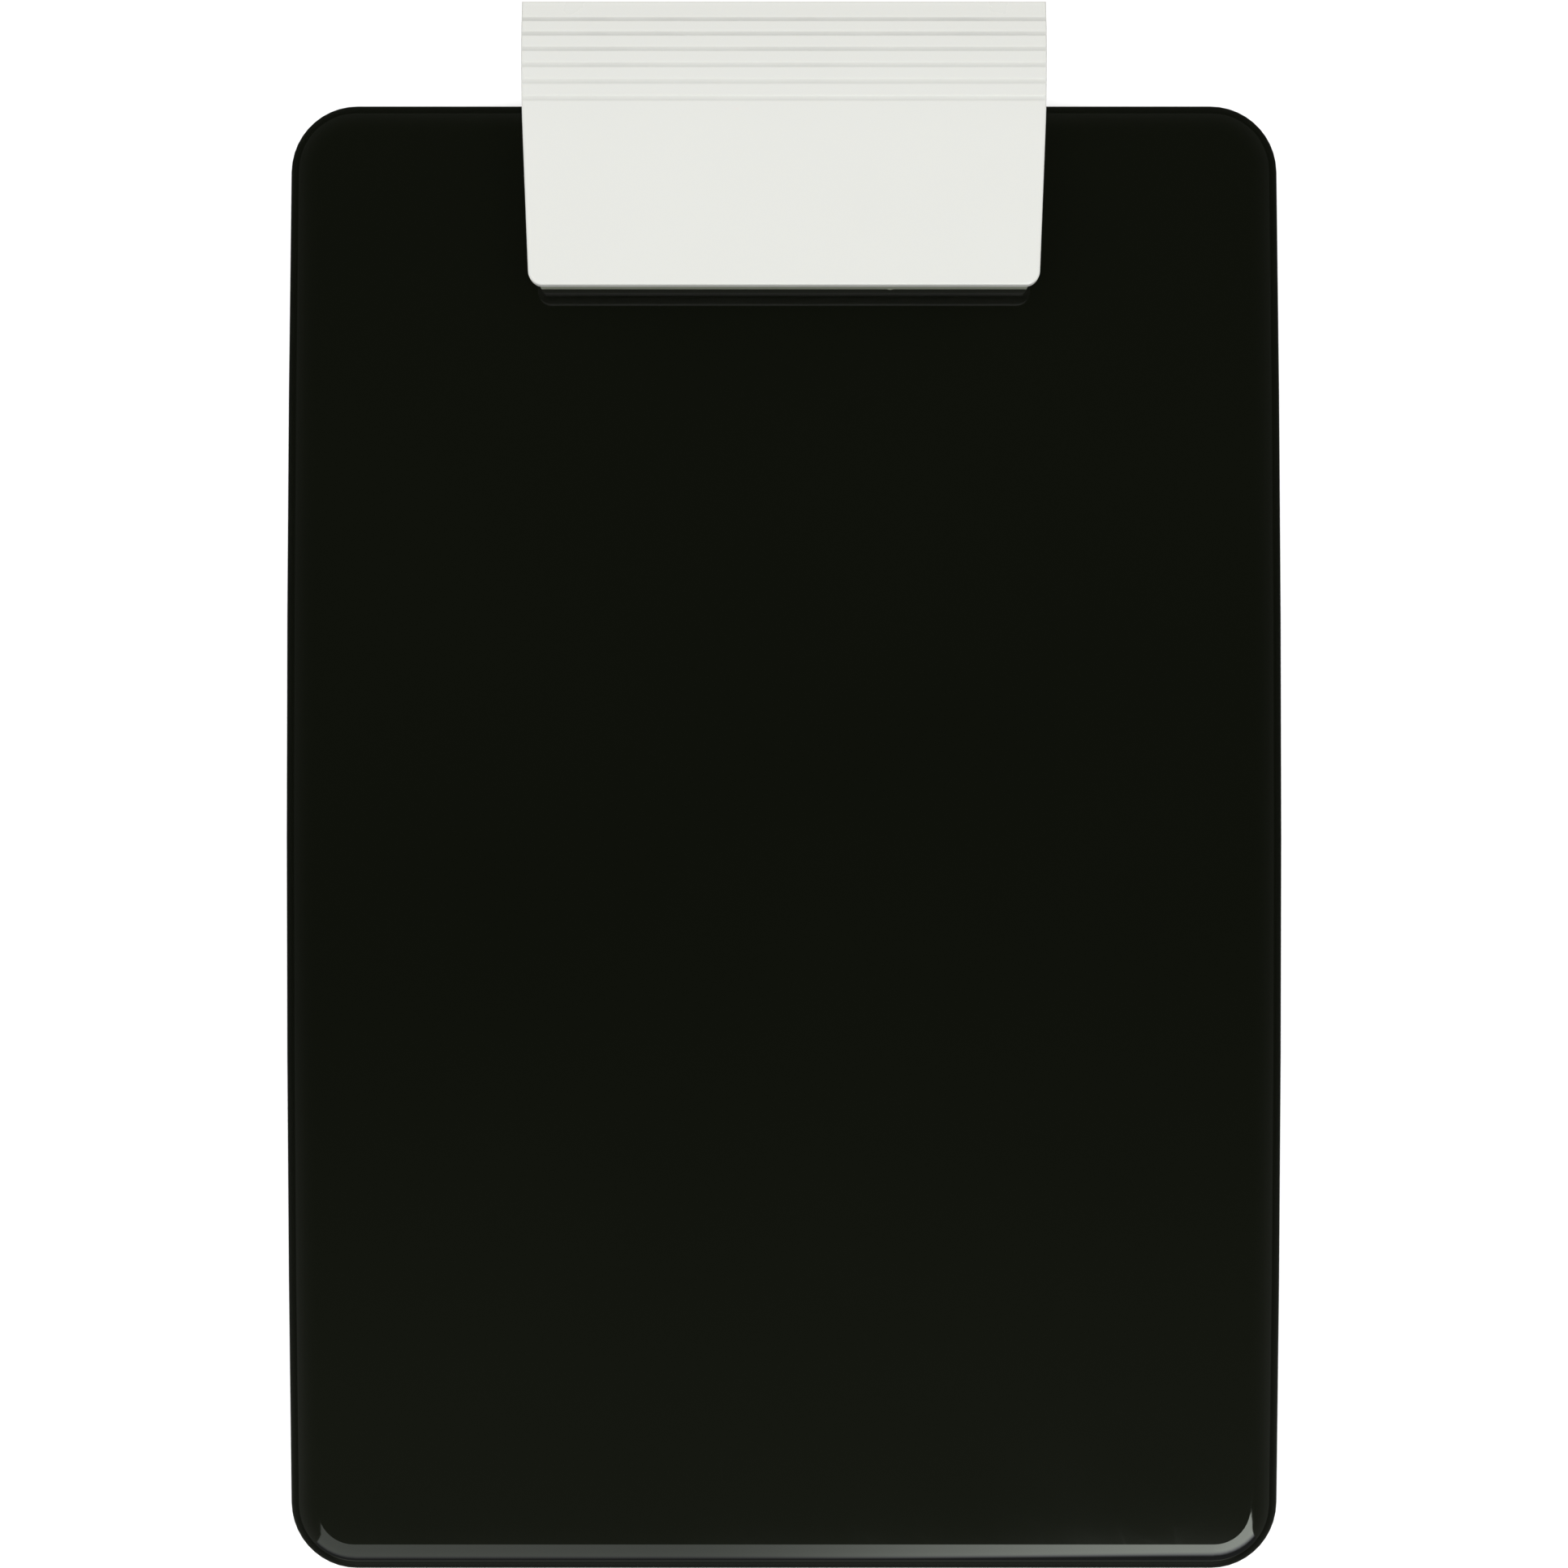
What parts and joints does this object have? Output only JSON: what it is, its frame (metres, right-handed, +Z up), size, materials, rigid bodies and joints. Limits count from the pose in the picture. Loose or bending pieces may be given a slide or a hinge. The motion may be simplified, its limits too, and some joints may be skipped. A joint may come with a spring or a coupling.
{
  "type": "clipboard",
  "caption": "Paper clipboard: a moulded board with a rounded turned-down rim and a low sprung lever clip with a ribbed, curled handle and a full-width jaw.",
  "frame": {"origin": "middle of the object's footprint, on the surface that the board's rim rests on", "axes": "+X to the right across the board, +Y along the board towards the clip, +Z up out of the writing face"},
  "size_m": [0.2286, 0.3541, 0.0262],
  "materials": {
    "board_plastic": "high gloss moulded plastic",
    "clip_plastic": "satin moulded plastic",
    "hinge_plastic": "satin moulded plastic",
    "grip_rubber": "soft matt strip",
    "rod_steel": "drawn steel rod",
    "cap_steel": "pressed and zinc plated",
    "sleeve_nylon": "natural nylon",
    "spring_steel": "oil-tempered wire",
    "rivet_metal": "bright rivet",
    "washer_metal": "tumbled washer"
  },
  "bodies": {
    "board": {"board": "board_plastic", "hinge_base": "hinge_plastic", "pivot_rod": "rod_steel", "rod_cap_left": "cap_steel", "rod_cap_right": "cap_steel", "spring_sleeve_left": "sleeve_nylon", "spring_sleeve_right": "sleeve_nylon", "spring_left": "spring_steel", "spring_right": "spring_steel", "rivets": "rivet_metal", "rivet_washers": "washer_metal"},
    "lever": {"clip_lever": "clip_plastic", "jaw_grip": "grip_rubber"}
  },
  "joints": [
    {"name": "lever_pivot", "type": "hinge", "parent": "board", "child": "lever", "pos_m": [0, 0.142, 0.0162], "axis": [-1, 0, 0], "range_deg": [0, 22], "stiffness_Nm_per_rad": 0.5, "springref_deg": -34.38, "deforming": ["spring_left", "spring_right"]}
  ]
}
